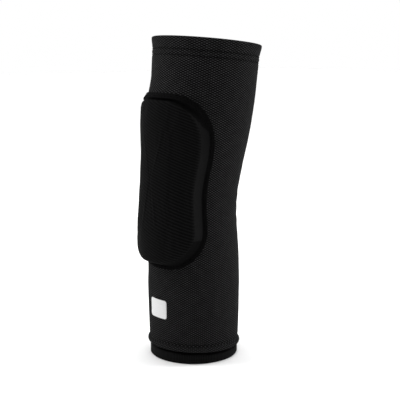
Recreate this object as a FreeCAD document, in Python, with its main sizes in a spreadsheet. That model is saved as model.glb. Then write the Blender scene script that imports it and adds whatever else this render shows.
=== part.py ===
import FreeCAD
import Part
import Sketcher
import math
import os
from FreeCAD import Placement, Rotation, Vector

# A padded elbow sleeve for martial arts: a knitted tube with a moulded pad over the elbow point.
# The forearm's axis is +Z and its opening stands on z = 0. The pad faces -X and the crook of the
# elbow faces +X. The upper arm leans towards +X by the sleeve's own bend. Lengths are in mm.

doc = FreeCAD.newDocument("elbow_pad")
sizes = doc.addObject("Spreadsheet::Sheet", "Sizes")

# ---- driving dimensions: alias, value, meaning ------------------------------------------------
DIMENSIONS = [
    ("knit_wall", 1.2, "thickness of the sleeve's knit, stretched on the arm"),
    ("sewn_gap", 0.3, "clear space between neighbouring layers"),
    ("rest_bend", 6.0, "how far the upper arm leans from the forearm at rest, degrees"),
    ("bend_half_length", 20.0, "half the length of arm over which the sleeve curves"),
    ("arm_length", 275.0, "forearm rim to upper rim, along the arm"),
    ("cuff_inner_radius", 36.6, "inside of the elastic cuff"),
    ("cuff_outer_radius", 38.8, "outside of the elastic cuff"),
    ("cuff_layer", 0.6, "one layer of the folded cuff band"),
    ("cuff_show", 9.8, "height of the cuff that shows below the sleeve"),
    ("cuff_height", 19.0, "full height of the cuff's inner layer"),
    ("ridge_radius", 40.7, "widest part of the sleeve's turned lower edge"),
    ("ridge_base", 10.2, "lowest part of the turned edge"),
    ("rim_radius", 47.5, "outside of the upper rim"),
    ("hem_inner_radius", 43.1, "inside of the upper hem"),
    ("hem_layer", 1.2, "thickness of the turned-in layer of the upper hem"),
    ("hem_depth", 17.7, "how far the upper hem is turned in"),
    ("hem_row_one", 10.5, "rim to the first row of hem stitches"),
    ("hem_row_two", 15.5, "rim to the second row of hem stitches"),
    ("elastic_thick", 0.55, "thickness of the elastic tapes"),
    ("thread_radius", 0.35, "radius of the sewing thread where it shows"),
    ("pad_base", 88.0, "lower end of the pad, along the arm"),
    ("pad_crown", 221.0, "upper end of the pad, along the arm"),
    ("pad_low_half", 41.5, "half the pad's width below the elbow, round the sleeve"),
    ("pad_waist_half", 38.6, "half the pad's width at its waist"),
    ("pad_high_half", 46.0, "half the pad's width above the elbow"),
    ("pad_low_full", 108.0, "height where the lower width is reached"),
    ("pad_waist", 145.0, "height of the waist"),
    ("pad_high_full", 192.0, "height where the upper width is reached"),
    ("pad_low_corner", 26.0, "corner radius of the pad's lower end"),
    ("pad_high_corner", 26.0, "corner radius of the pad's upper end"),
    ("pad_mid_thick", 13.0, "foam thickness along the pad's middle"),
    ("pad_edge_thick", 9.6, "foam thickness at the pad's edge"),
    ("pad_crown_thinner", 2.4, "how much thinner the foam is over the upper arm"),
    ("pad_rounding", 5.5, "rounding of the foam's edge at its two ends"),
    ("pad_wall_lean", 10.0, "how far the side wall leans in, degrees of arm"),
    ("cover_thick", 1.0, "thickness of the pad's cover"),
    ("gusset_height", 5.4, "height of the side strip round the pad"),
    ("flange_width", 5.0, "width of the sewn border round the pad"),
    ("flange_thick", 0.9, "thickness of the sewn border"),
    ("stitch_width", 0.6, "width and height of a row of pad stitches"),
    ("patch_half_width", 10.5, "half the width of the plain patch, round the sleeve"),
    ("patch_low", 38.0, "lower edge of the patch"),
    ("patch_high", 54.5, "upper edge of the patch"),
    ("patch_thick", 0.3, "thickness of the patch"),
    ("seam_half_width", 2.5, "half the width of the long seam's allowance"),
    ("seam_thick", 0.7, "thickness of the long seam's allowance"),
]

# ---- the sleeve's outside: station name, height along the arm, outer radius -------------------
STATIONS = [
    ("cuff_top", 15.0, 39.4),
    ("low_forearm", 40.0, 40.2),
    ("mid_forearm", 66.0, 40.6),
    ("below_elbow", 90.0, 39.8),
    ("elbow_entry", 112.0, 38.3),
    ("elbow_point", 132.0, 37.2),
    ("elbow_exit", 152.0, 37.4),
    ("above_elbow", 174.0, 39.9),
    ("low_arm", 190.0, 42.3),
    ("mid_arm", 206.0, 44.0),
    ("high_arm", 230.0, 45.4),
    ("hem_start", 254.0, 46.0),
]

cell_row = 0


def add_size(alias, content, meaning):
    """Write one line of the sheet: name, value or formula, meaning."""
    global cell_row
    cell_row += 1
    sizes.set(f"A{cell_row}", alias)
    sizes.set(f"B{cell_row}", str(content))
    sizes.setAlias(f"B{cell_row}", alias)
    sizes.set(f"C{cell_row}", meaning)


for alias, value, meaning in DIMENSIONS:
    add_size(alias, value, meaning)
for name, height, radius in STATIONS:
    add_size(f"{name}_height", height, "station height along the arm")
    add_size(f"{name}_radius", radius, "outer radius there")
    add_size(f"{name}_inner", f"={name}_radius - knit_wall", "inner radius there")
    add_size(f"{name}_rise", f"={name}_height - elbow_point_height", "height above the elbow point")

# ---- sizes that follow from the driving ones --------------------------------------------------
FORMULAS = [
    ("cuff_skin_inner", "=cuff_outer_radius - cuff_layer"),
    ("cuff_skin_corner", "=cuff_outer_radius - 0.4"),
    ("cuff_lining_outer", "=cuff_inner_radius + cuff_layer"),
    ("cuff_corner", "=0.6 * cuff_layer"),
    ("cuff_tape_inner", "=(cuff_skin_inner + cuff_lining_outer - elastic_thick) / 2"),
    ("cuff_tape_outer", "=(cuff_skin_inner + cuff_lining_outer + elastic_thick) / 2"),
    ("cuff_tape_base", "=cuff_layer + sewn_gap"),
    ("cuff_tape_top", "=cuff_show - 2 * sewn_gap"),
    ("ridge_foot", "=ridge_radius - 1.0"),
    ("ridge_low", "=ridge_base + 1.4"),
    ("ridge_high", "=ridge_base + 3.2"),
    ("ridge_inner", "=cuff_top_inner - sewn_gap"),
    ("below_elbow_cut", "=below_elbow_height - sewn_gap"),
    ("above_elbow_cut", "=above_elbow_rise + sewn_gap"),
    ("rim_rise", "=arm_length - elbow_point_height"),
    ("rim_shoulder", "=rim_rise - 0.9"),
    ("rim_corner", "=rim_radius - 0.6"),
    ("rim_channel", "=rim_rise - hem_layer"),
    ("rim_skin_inner", "=rim_radius - 1.4"),
    ("hem_lining_outer", "=hem_inner_radius + hem_layer"),
    ("hem_edge_rise", "=rim_rise - hem_depth"),
    ("hem_tape_inner", "=hem_lining_outer + 0.2"),
    ("hem_tape_outer", "=hem_tape_inner + elastic_thick"),
    ("hem_tape_base", "=rim_rise - hem_row_one + 1.5"),
    ("hem_tape_top", "=rim_channel - sewn_gap"),
    ("row_one_rise", "=rim_rise - hem_row_one"),
    ("row_two_rise", "=rim_rise - hem_row_two"),
]
for alias, formula in FORMULAS:
    add_size(alias, formula, "follows from the sizes above")
doc.recompute()


def size(alias):
    """A size from the sheet, as a plain number."""
    return float(sizes.get(alias))


elbow = Vector(0, 0, size("elbow_point_height"))
lean = Rotation(Vector(0, 1, 0), size("rest_bend"))
at_origin = Placement()
at_elbow = Placement(elbow, lean)
finished = []


def finish(sub_part, label):
    """Name a finished sub-part after its file and keep it for export."""
    sub_part.Label = label
    finished.append(sub_part)


# ---- turned pieces: closed profiles swept round the arm's axis --------------------------------
def turned(label, corners, placement):
    """A body turned about its own Z axis from a closed profile of (radius, height) aliases."""
    body = doc.addObject("PartDesign::Body", label + "_body")
    side_plane = [f for f in body.Origin.OriginFeatures if f.Role == "XZ_Plane"][0]
    profile = body.newObject("Sketcher::SketchObject", label + "_profile")
    profile.AttachmentSupport = [(side_plane, "")]
    profile.MapMode = "FlatFace"
    points = [Vector(size(r), size(h) if h else 0.0, 0) for r, h in corners]
    count = len(points)
    for i in range(count):
        profile.addGeometry(Part.LineSegment(points[i], points[(i + 1) % count]), False)
    for i in range(count):
        profile.addConstraint(Sketcher.Constraint("Coincident", i, 2, (i + 1) % count, 1))
    for i, (radius, height) in enumerate(corners):
        profile.addConstraint(Sketcher.Constraint("DistanceX", -1, 1, i, 1, points[i].x))
        profile.renameConstraint(profile.ConstraintCount - 1, f"radius_{i}")
        profile.setExpression(f".Constraints.radius_{i}", f"Sizes.{radius}")
        if height is None:
            profile.addConstraint(Sketcher.Constraint("PointOnObject", i, 1, -1))
            continue
        profile.addConstraint(Sketcher.Constraint("DistanceY", -1, 1, i, 1, points[i].y))
        profile.renameConstraint(profile.ConstraintCount - 1, f"height_{i}")
        profile.setExpression(f".Constraints.height_{i}", f"Sizes.{height}")
    doc.recompute()
    turn = body.newObject("PartDesign::Revolution", label + "_turn")
    turn.Profile = profile
    turn.ReferenceAxis = (profile, ["V_Axis"])
    turn.Angle = 360.0
    profile.Visibility = False
    body.Placement = placement
    doc.recompute()
    finish(body, label)


def station_corners(names, face, level):
    """Profile corners at the named stations, on the outer or the inner face."""
    return [(f"{name}_{face}", f"{name}_{level}") for name in names]


def make_forearm_sleeve():
    """Knit tube from the turned lower edge to just below the elbow."""
    plain = ["cuff_top", "low_forearm", "mid_forearm"]
    outer = station_corners(plain, "radius", "height") + [("below_elbow_radius", "below_elbow_cut")]
    inner = station_corners(plain, "inner", "height") + [("below_elbow_inner", "below_elbow_cut")]
    ridge = [
        ("ridge_inner", "ridge_low"),
        ("ridge_foot", "ridge_base"),
        ("ridge_radius", "ridge_low"),
        ("ridge_radius", "ridge_high"),
    ]
    turned("forearm_sleeve", ridge + outer + inner[::-1], at_origin)


def make_upper_sleeve():
    """Knit tube above the elbow, its rim turned in to make the hem."""
    plain = ["low_arm", "mid_arm", "high_arm", "hem_start"]
    outer = [("above_elbow_radius", "above_elbow_cut")] + station_corners(plain, "radius", "rise")
    inner = [("above_elbow_inner", "above_elbow_cut")] + station_corners(plain, "inner", "rise")
    rim = [
        ("rim_radius", "rim_shoulder"),
        ("rim_corner", "rim_rise"),
        ("hem_inner_radius", "rim_rise"),
        ("hem_inner_radius", "hem_edge_rise"),
        ("hem_lining_outer", "hem_edge_rise"),
        ("hem_lining_outer", "rim_channel"),
        ("rim_skin_inner", "rim_channel"),
    ]
    turned("upper_sleeve", outer + rim + inner[::-1], at_elbow)


def make_hem_elastic():
    """Elastic tape closed up inside the upper hem."""
    corners = [
        ("hem_tape_inner", "hem_tape_base"),
        ("hem_tape_outer", "hem_tape_base"),
        ("hem_tape_outer", "hem_tape_top"),
        ("hem_tape_inner", "hem_tape_top"),
    ]
    turned("upper_hem_elastic", corners, at_elbow)


def make_cuff_band():
    """Smooth elastic band folded at the forearm rim, its inner layer running up into the sleeve."""
    corners = [
        ("cuff_inner_radius", None),
        ("cuff_skin_corner", None),
        ("cuff_outer_radius", "cuff_corner"),
        ("cuff_outer_radius", "cuff_show"),
        ("cuff_skin_inner", "cuff_show"),
        ("cuff_skin_inner", "cuff_layer"),
        ("cuff_lining_outer", "cuff_layer"),
        ("cuff_lining_outer", "cuff_height"),
        ("cuff_inner_radius", "cuff_height"),
    ]
    turned("forearm_cuff_band", corners, at_origin)


def make_cuff_elastic():
    """Elastic tape between the two layers of the cuff."""
    corners = [
        ("cuff_tape_inner", "cuff_tape_base"),
        ("cuff_tape_outer", "cuff_tape_base"),
        ("cuff_tape_outer", "cuff_tape_top"),
        ("cuff_tape_inner", "cuff_tape_top"),
    ]
    turned("cuff_elastic", corners, at_origin)


# ---- thread rows round the arm ----------------------------------------------------------------
def make_thread_ring(label, radius_rule, thread_rule, height, placement_of):
    """A ring of sewing thread round the arm, its sizes bound to the sheet."""
    ring = doc.addObject("Part::Torus", label + "_ring")
    ring.setExpression("Radius1", radius_rule)
    ring.setExpression("Radius2", thread_rule)
    ring.Placement = placement_of.multiply(Placement(Vector(0, 0, height), Rotation()))
    finish(ring, label)


def make_thread_rings():
    """Two rows on the upper hem and one hidden row that holds the cuff."""
    hem_skin = "Sizes.hem_start_radius + (Sizes.rim_radius - Sizes.hem_start_radius) * {} + {}"
    outside = "Sizes.thread_radius + Sizes.sewn_gap"
    for label, alias in (("upper_hem_stitch_one", "row_one_rise"), ("upper_hem_stitch_two", "row_two_rise")):
        share = f"(Sizes.{alias} - Sizes.hem_start_rise) / (Sizes.rim_shoulder - Sizes.hem_start_rise)"
        make_thread_ring(label, hem_skin.format(share, outside), "Sizes.thread_radius", size(alias), at_elbow)
    between = "(Sizes.cuff_lining_outer + Sizes.cuff_top_inner) / 2"
    hidden_height = size("cuff_height") - 1.5
    make_thread_ring("cuff_seam_thread", between, "Sizes.thread_radius / 2", hidden_height, at_origin)


# ---- pieces that follow the bent arm ----------------------------------------------------------
def arm_frame(height):
    """Placement of the arm's cross-section at a height measured along the arm."""
    half = size("bend_half_length")
    bend = math.radians(size("rest_bend"))
    start = elbow.z - half
    if height <= start:
        return Placement(Vector(0, 0, height), Rotation())
    if height >= elbow.z + half:
        return at_elbow.multiply(Placement(Vector(0, 0, height - elbow.z), Rotation()))
    curve_radius = 2 * half / bend
    turn = (height - start) / curve_radius
    base = Vector(curve_radius * (1 - math.cos(turn)), 0, start + curve_radius * math.sin(turn))
    return Placement(base, Rotation(Vector(0, 1, 0), math.degrees(turn)))


def between(value, low, high):
    """Share of the way from low to high, held inside 0 to 1."""
    return min(max((value - low) / (high - low), 0.0), 1.0)


def sleeve_radius(height):
    """Outer radius of the sleeve at a height along the arm."""
    heights = [size(f"{name}_height") for name, _, _ in STATIONS]
    radii = [size(f"{name}_radius") for name, _, _ in STATIONS]
    for i in range(len(heights) - 1):
        if height <= heights[i + 1]:
            share = between(height, heights[i], heights[i + 1])
            return radii[i] + share * (radii[i + 1] - radii[i])
    return radii[-1]


def arm_point(height, radius, angle):
    """A point on the arm; the angle is measured from the pad's middle, round to +Y."""
    return arm_frame(height).multVec(Vector(-radius * math.cos(angle), radius * math.sin(angle), 0))


def arm_circle(height, radius):
    """A round cross-section of the arm."""
    circle = Part.Wire(Part.makeCircle(radius))
    circle.Placement = arm_frame(height)
    return circle


def arm_solid(low, high, offset):
    """The solid inside the sleeve's outer face moved out by offset, between two heights."""
    stations = [size(f"{name}_height") for name, _, _ in STATIONS]
    heights = [low] + [h for h in stations if low < h < high] + [high]
    rings = [arm_circle(h, sleeve_radius(h) + offset) for h in heights]
    return Part.makeLoft(rings, True, True)


def arm_block(heights, inner, outer, middle, half_angle, lean_angle):
    """A block on the arm lofted through sections; every argument after heights is a function of height."""
    wires = []
    for h in heights:
        low_radius = inner(h)
        high_radius = outer(h)
        high_angle = half_angle(h) - lean_angle(h)
        rise = high_radius - sleeve_radius(h)
        depth = sleeve_radius(h) - low_radius
        low_angle = half_angle(h) + lean_angle(h) * depth / rise
        corners = [
            arm_point(h, low_radius, -low_angle),
            arm_point(h, low_radius, low_angle),
            arm_point(h, high_radius, high_angle),
            arm_point(h, high_radius, -high_angle),
        ]
        floor_arc = Part.Arc(corners[0], arm_point(h, low_radius, 0), corners[1]).toShape()
        wall_one = Part.LineSegment(corners[1], corners[2]).toShape()
        face_arc = Part.Arc(corners[2], arm_point(h, middle(h), 0), corners[3]).toShape()
        wall_two = Part.LineSegment(corners[3], corners[0]).toShape()
        wires.append(Part.Wire([floor_arc, wall_one, face_arc, wall_two]))
    return Part.makeLoft(wires, True, True)


def ease(share):
    """A smooth step from 0 to 1."""
    return share * share * (3 - 2 * share)


def corner_loss(distance, radius):
    """How much a rounded corner takes off at a distance from the end."""
    inside = max(radius - max(distance, 0.0), 0.0)
    return radius - math.sqrt(radius * radius - inside * inside)


def pad_half_width(height, grow):
    """Half the width of the pad's outline round the sleeve, the outline grown by an amount."""
    low_half = size("pad_low_half")
    waist_half = size("pad_waist_half")
    high_half = size("pad_high_half")
    down = ease(between(height, size("pad_low_full"), size("pad_waist")))
    up = ease(between(height, size("pad_waist"), size("pad_high_full")))
    half = low_half + (waist_half - low_half) * down + (high_half - waist_half) * up + grow
    from_base = height - size("pad_base") + grow
    from_crown = size("pad_crown") + grow - height
    half -= corner_loss(from_base, size("pad_low_corner") + grow)
    half -= corner_loss(from_crown, size("pad_high_corner") + grow)
    return half


def pad_heights(grow):
    """Stations for the pad's outline: close together at the two rounded ends."""
    steps = [0.0, 1.5, 4.0, 8.0, 14.0, 22.0]
    base = size("pad_base") - grow
    crown = size("pad_crown") + grow
    middle = [118.0, 132.0, 145.0, 160.0, 176.0, 190.0]
    return [base + s for s in steps] + middle + [crown - s for s in reversed(steps)]


def pad_block(grow, depth):
    """The pad's body grown by an amount all round, reaching depth below the sleeve's outer face."""
    wall_lean = math.radians(size("pad_wall_lean"))

    def thickness(height, alias):
        ends = min(height - size("pad_base") + grow, size("pad_crown") + grow - height)
        thinner = size("pad_crown_thinner") * ease(between(height, size("pad_waist"), size("pad_high_full")))
        return size(alias) - thinner + grow - corner_loss(ends, size("pad_rounding") + grow)

    return arm_block(
        pad_heights(grow),
        lambda h: sleeve_radius(h) - depth,
        lambda h: sleeve_radius(h) + thickness(h, "pad_edge_thick"),
        lambda h: sleeve_radius(h) + thickness(h, "pad_mid_thick"),
        lambda h: pad_half_width(h, grow) / sleeve_radius(h),
        lambda h: wall_lean * thickness(h, "pad_edge_thick") / size("pad_edge_thick"),
    )


def outline_block(grow, rise):
    """An upright-walled block over the pad's grown outline, standing rise above the sleeve."""
    return arm_block(
        pad_heights(grow),
        lambda h: sleeve_radius(h) - 3.0,
        lambda h: sleeve_radius(h) + rise,
        lambda h: sleeve_radius(h) + rise,
        lambda h: pad_half_width(h, grow) / sleeve_radius(h),
        lambda h: 0.0,
    )


def outlined_band(floor, roof, outer_grow, inner_grow):
    """A ring round the pad's outline, between two offsets above the sleeve."""
    layer = arm_solid(60.0, 246.0, roof).cut(arm_solid(60.0, 246.0, floor))
    return layer.common(outline_block(outer_grow, 6.0)).cut(outline_block(inner_grow, 6.0))


def add_shape(shape, label):
    """Keep a finished free-form solid as a document object."""
    sub_part = doc.addObject("Part::Feature", label + "_form")
    sub_part.Shape = shape
    sub_part.Placement = Placement()
    finish(sub_part, label)


def make_elbow_sleeve():
    """The stretch of knit that bends, between the forearm and the upper arm tubes."""
    low = size("below_elbow_height")
    high = size("above_elbow_height")
    outside = arm_solid(low, high, 0.0)
    inside = arm_solid(low - 1.0, high + 1.0, -size("knit_wall"))
    add_shape(outside.cut(inside), "elbow_sleeve")


def make_pad():
    """Foam block, cover, side strip, sewn border and its two rows of stitches."""
    gap = size("sewn_gap")
    cover = size("cover_thick")
    sleeve = arm_solid(60.0, 246.0, gap)
    foam = pad_block(0.0, 3.0).cut(sleeve)
    add_shape(foam, "pad_foam_core")

    skin = pad_block(gap + cover, 2.5).cut(pad_block(gap, 3.0)).cut(sleeve)
    strip_top = size("gusset_height")
    add_shape(skin.common(arm_solid(60.0, 246.0, strip_top)), "pad_side_gusset")
    add_shape(skin.cut(arm_solid(60.0, 246.0, strip_top + gap / 2)), "pad_cover")

    pad_edge = 2 * gap + cover
    border_top = gap + size("flange_thick")
    border = outlined_band(gap, border_top, pad_edge + size("flange_width"), pad_edge)
    add_shape(border, "pad_flange")

    width = size("stitch_width")
    row_floor = border_top + gap / 2
    for label, inset in (("pad_edge_stitches", 1.2), ("pad_flange_stitches", 3.6)):
        row = outlined_band(row_floor, row_floor + width, pad_edge + inset + width, pad_edge + inset)
        add_shape(row, label)


def along_arm(low, high):
    """Two heights with the sleeve's stations that lie between them."""
    stations = [size(f"{name}_height") for name, _, _ in STATIONS]
    return [low] + [h for h in stations if low < h < high] + [high]


def curved_strip(low, high, half_width, floor, roof, middle_angle):
    """A thin strip lying along the arm at one angle, between two offsets from its outer face."""
    wires = []
    for h in along_arm(low, high):
        radius = sleeve_radius(h)
        half = half_width / radius
        arcs = []
        for offset in (floor, roof):
            ends = [arm_point(h, radius + offset, middle_angle + side * half) for side in (-1, 1)]
            top = arm_point(h, radius + offset, middle_angle)
            arcs.append(Part.Arc(ends[0], top, ends[1]).toShape())
        low_arc, high_arc = arcs
        side_one = Part.LineSegment(low_arc.Vertexes[-1].Point, high_arc.Vertexes[-1].Point).toShape()
        side_two = Part.LineSegment(high_arc.Vertexes[0].Point, low_arc.Vertexes[0].Point).toShape()
        wires.append(Part.Wire(Part.__sortEdges__([low_arc, side_one, high_arc, side_two])))
    return Part.makeLoft(wires, True, True)


def make_patch():
    """Plain blank patch on the forearm, in line with the pad."""
    floor = size("sewn_gap") / 2
    roof = floor + size("patch_thick")
    strip = curved_strip(size("patch_low"), size("patch_high"), size("patch_half_width"), floor, roof, 0.0)
    add_shape(strip, "blank_patch")


def make_long_seam():
    """Seam allowance down the inside of the crook, in three lengths that part at the bend."""
    roof = -size("knit_wall") - size("sewn_gap")
    floor = roof - size("seam_thick")
    gap = size("sewn_gap")
    lengths = [
        ("forearm_seam", size("cuff_height") + 1.0, size("below_elbow_height") - gap),
        ("elbow_seam", size("below_elbow_height"), size("above_elbow_height")),
        ("upper_seam", size("above_elbow_height") + gap, size("hem_start_height")),
    ]
    for label, low, high in lengths:
        strip = curved_strip(low, high, size("seam_half_width"), floor, roof, math.pi)
        add_shape(strip, label)


make_forearm_sleeve()
make_upper_sleeve()
make_hem_elastic()
make_cuff_band()
make_cuff_elastic()
make_thread_rings()
make_elbow_sleeve()
make_pad()
make_patch()
make_long_seam()
doc.recompute()

# ---- every object is sound and every sub-part is a closed valid solid before it is written -----
for item in doc.Objects:
    if "Invalid" in item.State or "Error" in item.State:
        raise RuntimeError(f"{item.Label} did not build: {item.State}")
os.makedirs("parts", exist_ok=True)
for sub_part in finished:
    shape = sub_part.Shape
    if shape.isNull() or not shape.isValid() or not shape.Solids:
        raise RuntimeError(f"{sub_part.Label} is not a valid solid")
    shape.exportStep(f"parts/{sub_part.Label}.step")
    box = shape.BoundBox
    print(
        f"{sub_part.Label:22s} solids {len(shape.Solids)} volume {shape.Volume:10.1f} mm3"
        f"  x {box.XMin:7.1f} {box.XMax:6.1f}  y {box.YMin:6.1f} {box.YMax:6.1f}"
        f"  z {box.ZMin:6.1f} {box.ZMax:6.1f}"
    )
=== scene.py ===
# %% [markdown]
# A padded elbow sleeve for martial arts, built as it is sewn. A knitted tube is cut a little smaller
# than the arm, so it grips. A block of moulded foam sits over the elbow point under its own stretch
# cover, and a border of flat cloth carries the stitches that hold the whole pad to the tube.
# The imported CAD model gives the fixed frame: the forearm stands on z = 0 and runs up +Z, the pad
# faces -X, the crook faces +X, and everything here is in metres in that same frame.

# %% Load the frame
import math
import bpy
import numpy as np
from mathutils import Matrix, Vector


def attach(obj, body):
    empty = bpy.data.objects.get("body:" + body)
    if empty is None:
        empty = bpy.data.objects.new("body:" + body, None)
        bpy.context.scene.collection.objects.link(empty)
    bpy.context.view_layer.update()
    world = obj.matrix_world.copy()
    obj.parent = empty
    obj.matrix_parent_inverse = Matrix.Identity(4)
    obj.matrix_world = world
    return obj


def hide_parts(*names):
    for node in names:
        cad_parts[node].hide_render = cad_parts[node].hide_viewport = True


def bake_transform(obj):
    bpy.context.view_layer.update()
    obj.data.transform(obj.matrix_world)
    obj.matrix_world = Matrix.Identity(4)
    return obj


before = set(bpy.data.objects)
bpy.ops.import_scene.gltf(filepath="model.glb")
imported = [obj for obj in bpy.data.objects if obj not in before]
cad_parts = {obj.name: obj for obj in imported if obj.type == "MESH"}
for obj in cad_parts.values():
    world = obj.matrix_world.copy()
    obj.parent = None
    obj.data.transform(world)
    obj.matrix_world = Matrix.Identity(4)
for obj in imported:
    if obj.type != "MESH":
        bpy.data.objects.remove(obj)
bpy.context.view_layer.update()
scene = bpy.context.scene
FOREARM = "forearm_half"
UPPER = "upper_arm_half"

# %% [markdown]
# Everything on this object follows one bent arm, so the arm comes first. A tailor would measure the
# same two things: how far along the arm a point is, and the arm's girth there. The girths are read
# as radii at a dozen heights and smoothed, because a stretched knit never shows a corner.

# %% The arm inside the sleeve
MM = 0.001
BEND = math.radians(6.0)
ELBOW = 132 * MM
BEND_HALF = 20 * MM
ARM_LENGTH = 275 * MM
CURVE_RADIUS = 2 * BEND_HALF / BEND
GIRTHS = [
    (0, 38.8), (15, 39.4), (40, 40.2), (66, 40.6), (90, 39.8), (112, 38.3), (132, 37.2), (152, 37.4),
    (174, 39.9), (190, 42.3), (206, 44.0), (230, 45.4), (254, 46.0), (275, 46.6), (300, 48.0),
]
SMOOTHING = 17
fine_heights = np.arange(-20, 300) * MM
rough_radii = np.interp(fine_heights, [h * MM for h, _ in GIRTHS], [r * MM for _, r in GIRTHS])
window = np.hanning(SMOOTHING)
padded_radii = np.pad(rough_radii, SMOOTHING // 2, mode="edge")
fine_radii = np.convolve(padded_radii, window / window.sum(), "valid")


def girth(height):
    """Radius of the sleeve's outside at a height along the arm."""
    return np.interp(height, fine_heights, fine_radii)


def on_arm(height, radius, angle):
    """Points at heights along the arm, at a radius, at an angle from the pad's middle round to +Y."""
    height, radius, angle = np.broadcast_arrays(*(np.asarray(v, float) for v in (height, radius, angle)))
    turn = np.clip((height - ELBOW + BEND_HALF) / (2 * BEND_HALF), 0, 1) * BEND
    above = np.clip(height - ELBOW - BEND_HALF, 0, None)
    below = np.minimum(height, ELBOW - BEND_HALF)
    middle_x = CURVE_RADIUS * (1 - np.cos(turn)) + above * math.sin(BEND)
    middle_z = below + CURVE_RADIUS * np.sin(turn) + above * math.cos(BEND)
    outwards = -radius * np.cos(angle)
    return np.stack(
        [middle_x + outwards * np.cos(turn), radius * np.sin(angle), middle_z - outwards * np.sin(turn)], -1
    )


def ease(share):
    """A smooth step that starts and ends level."""
    share = np.clip(share, 0, 1)
    return share * share * (3 - 2 * share)


def bell(distance, width):
    """A smooth bump of height one."""
    return np.exp(-((distance / width) ** 2))


# %% [markdown]
# Cloth is easiest to build as a grid of rows and columns, like its own courses and wales. This
# helper turns such a grid into a mesh and gives it cloth coordinates in metres, so that a weave
# drawn in them has its true size and stays with the cloth when the elbow bends.


# %% Helpers that make meshes
def smooth_mesh(name, points, faces, cloth=None):
    """A smooth-shaded object from points and faces; cloth holds one (across, along) per face corner."""
    mesh = bpy.data.meshes.new(name)
    mesh.from_pydata([tuple(p) for p in points], [], [tuple(f) for f in faces])
    if cloth is not None:
        layer = mesh.uv_layers.new(name="cloth")
        layer.data.foreach_set("uv", np.asarray(cloth, np.float32).ravel())
    mesh.update()
    mesh.shade_smooth()
    made = bpy.data.objects.new(name, mesh)
    scene.collection.objects.link(made)
    spans = (np.ptp(np.asarray(points, float), axis=0) * 1000).round(1)
    print(f"{name}: {len(points)} points, {spans[0]} x {spans[1]} x {spans[2]} mm")
    return made


def grid_faces(rows, columns, round_rows, round_columns):
    """Corner indices of a grid's faces, and the unwrapped (row, column) of each corner."""
    i, j = np.meshgrid(
        np.arange(rows if round_rows else rows - 1),
        np.arange(columns if round_columns else columns - 1),
        indexing="ij",
    )
    corner_rows = np.stack([i, i, i + 1, i + 1], -1).reshape(-1, 4)
    corner_columns = np.stack([j, j + 1, j + 1, j], -1).reshape(-1, 4)
    faces = (corner_rows % rows) * columns + corner_columns % columns
    return faces, corner_rows, corner_columns


def grid_cloth(name, points, across, along, round_rows=False, round_columns=True, closed_ends=False):
    """A piece from a grid of points; across and along are one row and column longer where it closes.

    With closed_ends, the first and last rows are each filled by a fan of triangles.
    """
    rows, columns = points.shape[:2]
    faces, corner_rows, corner_columns = grid_faces(rows, columns, round_rows, round_columns)
    cloth = np.stack([across[corner_rows, corner_columns], along[corner_rows, corner_columns]], -1)
    faces = [tuple(face) for face in faces]
    cloth = cloth.reshape(-1, 2)
    every_point = points.reshape(-1, 3)
    if closed_ends:
        for end in (0, rows - 1):
            middle = len(every_point)
            every_point = np.vstack([every_point, points[end].mean(axis=0)])
            flat_end = np.stack([across[end], along[end]], -1)
            flat_middle = flat_end[:-1].mean(axis=0)
            for j in range(columns):
                pair = (j, j + 1) if end else (j + 1, j)
                faces.append((end * columns + pair[0] % columns, end * columns + pair[1] % columns, middle))
                cloth = np.vstack([cloth, flat_end[pair[0]], flat_end[pair[1]], flat_middle])
    return smooth_mesh(name, every_point, faces, cloth)


def row_of_stitches(name, line, outward, stitch, gap, radius, lift):
    """Short rounded stitches laid end to end along a closed line, each sunk a little into the cloth."""
    steps = np.linalg.norm(np.roll(line, -1, 0) - line, axis=1)
    travelled = np.concatenate([[0], np.cumsum(steps)])
    count = int(travelled[-1] // (stitch + gap))
    pitch = travelled[-1] / count
    closed_line = np.vstack([line, line[:1]])
    closed_outward = np.vstack([outward, outward[:1]])

    def read(values, distance):
        return np.stack([np.interp(distance, travelled, values[:, k]) for k in range(3)], -1)

    sides = 6
    swell = np.array([0.25, 0.85, 1.0, 0.85, 0.25])
    rise = np.array([-0.9, 0.1, 0.55, 0.1, -0.9])
    shares = np.array([0.0, 0.18, 0.5, 0.82, 1.0])
    points = []
    faces = []
    for n in range(count):
        distances = (n * pitch + shares * stitch) % travelled[-1]
        centres = read(closed_line, distances)
        normals = read(closed_outward, distances)
        normals /= np.linalg.norm(normals, axis=1)[:, None]
        forward = centres[-1] - centres[0]
        forward /= np.linalg.norm(forward)
        first = len(points)
        for centre, normal, size, height in zip(centres, normals, swell, rise):
            side = np.cross(forward, normal)
            for k in range(sides):
                turn = 2 * math.pi * k / sides
                spoke = (math.cos(turn) * side + math.sin(turn) * normal) * radius * size
                points.append(centre + normal * (lift + height * radius) + spoke)
        for ring in range(len(shares) - 1):
            for k in range(sides):
                a = first + ring * sides + k
                b = first + ring * sides + (k + 1) % sides
                faces.append((a, b, b + sides, a + sides))
        faces.append(tuple(first + k for k in reversed(range(sides))))
        faces.append(tuple(first + (len(shares) - 1) * sides + k for k in range(sides)))
    print(f"{name}: {count} stitches of {stitch * 1000:.1f} mm")
    return smooth_mesh(name, points, faces)


# %% [markdown]
# The pad's outline is an hourglass: broad over the upper arm, narrow beside the joint so that it
# doesn't dig in as the arm bends, and rounded off below like a shield. It is drawn flat on the
# sleeve as height along the arm and distance round it, the way the pattern piece would be cut.

# %% The pad's outline
OUTLINE_POINTS = 288
LOW_HALF, WAIST_HALF, HIGH_HALF = 41.5 * MM, 38.6 * MM, 46.0 * MM
LOW_FULL, WAIST_AT, HIGH_FULL = 108 * MM, 145 * MM, 192 * MM


def corner_loss(distance, radius):
    """How much a round corner takes off at a distance from the end."""
    inside = np.clip(radius - np.clip(distance, 0, None), 0, None)
    return radius - np.sqrt(radius * radius - inside * inside)


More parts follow.
